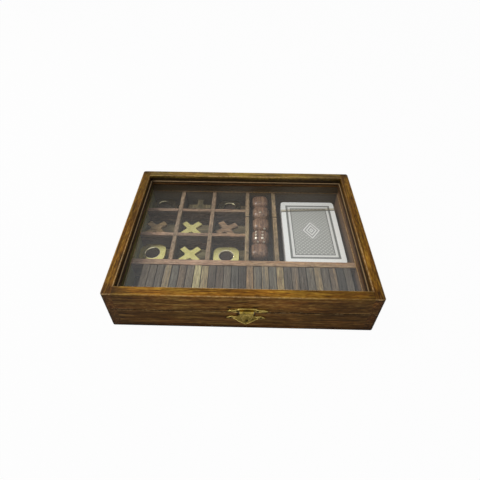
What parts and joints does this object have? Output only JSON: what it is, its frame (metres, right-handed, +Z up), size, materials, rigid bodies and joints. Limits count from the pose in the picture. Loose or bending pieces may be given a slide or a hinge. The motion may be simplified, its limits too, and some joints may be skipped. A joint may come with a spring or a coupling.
{
  "type": "games compendium box",
  "caption": "Shallow wooden games box with a hinged glazed lid, a divided tray of noughts, crosses, dice, cards and dominoes, and a brass hasp latch.",
  "frame": {"origin": "middle of the whole outline, on the underside that the box rests on", "axes": "+X along the length, to the right as seen from the latch; +Y from the latch towards the hinges; +Z up"},
  "size_m": [0.23, 0.1796, 0.0454],
  "materials": {
    "case_wood": "brown stain under worn satin lacquer, golden on the rims",
    "bead_wood": "brown stained narrow bead",
    "floor_wood": "dark stained plywood",
    "divider_wood": "dull unfinished brown wood",
    "counter_brass": "polished cast brass",
    "counter_wood": "oiled red-brown wood",
    "dice_wood": "polished red-brown wood with metal pips",
    "domino_wood": "dull brown wood in mixed tones",
    "card_stock": "coated card, white border and grey print",
    "tear_band": "thin dark film",
    "lid_glass": "clear polished sheet",
    "hinge_brass": "dull pressed brass",
    "latch_brass": "antiqued pressed brass",
    "pin_steel": "plain steel panel pins"
  },
  "bodies": {
    "base": {"base_back_board": "case_wood", "base_floor_panel": "floor_wood", "base_floor_pins": "pin_steel", "base_front_board": "case_wood", "base_left_board": "case_wood", "base_right_board": "case_wood", "card_deck": "card_stock", "counter_rests": "floor_wood", "cross_front_middle": "counter_brass", "cross_middle_centre": "counter_brass", "cross_middle_left": "counter_wood", "cross_middle_right": "counter_wood", "cross_rear_middle": "counter_wood", "deck_tear_band": "tear_band", "die_1": "dice_wood", "die_2": "dice_wood", "die_3": "dice_wood", "die_4": "dice_wood", "die_5": "dice_wood", "divider_dice_left": "divider_wood", "divider_dice_right": "divider_wood", "divider_grid_cross_front": "divider_wood", "divider_grid_cross_rear": "divider_wood", "divider_grid_left": "divider_wood", "divider_grid_right": "divider_wood", "divider_long_front": "divider_wood", "dominoes_1": "domino_wood", "dominoes_2": "domino_wood", "dominoes_3": "domino_wood", "dominoes_4": "domino_wood", "dominoes_5": "domino_wood", "dominoes_6": "domino_wood", "dominoes_7": "domino_wood", "hinge_base_nails": "hinge_brass", "hinge_left_base_leaf": "hinge_brass", "hinge_pins": "hinge_brass", "hinge_right_base_leaf": "hinge_brass", "latch_keeper": "latch_brass", "latch_keeper_nails": "latch_brass", "latch_stud": "latch_brass", "nought_front_left": "counter_brass", "nought_front_right": "counter_brass", "nought_rear_left": "counter_brass", "nought_rear_right": "counter_brass"},
    "lid": {"glass_bead_back": "bead_wood", "glass_bead_front": "bead_wood", "glass_bead_left": "bead_wood", "glass_bead_right": "bead_wood", "hinge_left_lid_leaf": "hinge_brass", "hinge_lid_nails": "hinge_brass", "hinge_right_lid_leaf": "hinge_brass", "latch_pin": "hinge_brass", "latch_plate": "latch_brass", "latch_plate_nails": "latch_brass", "lid_back_rail": "case_wood", "lid_front_rail": "case_wood", "lid_glass": "lid_glass", "lid_left_rail": "case_wood", "lid_right_rail": "case_wood"},
    "hasp": {"latch_hasp": "latch_brass"}
  },
  "joints": [
    {"name": "lid_hinge", "type": "hinge", "parent": "base", "child": "lid", "pos_m": [0, 0.0883, 0.0247], "axis": [-1, 0, 0], "range_deg": [0, 180]},
    {"name": "hasp_hinge", "type": "hinge", "parent": "lid", "child": "hasp", "pos_m": [0.004, -0.0883, 0.0264], "axis": [-1, 0, 0], "range_deg": [0, 170]}
  ]
}
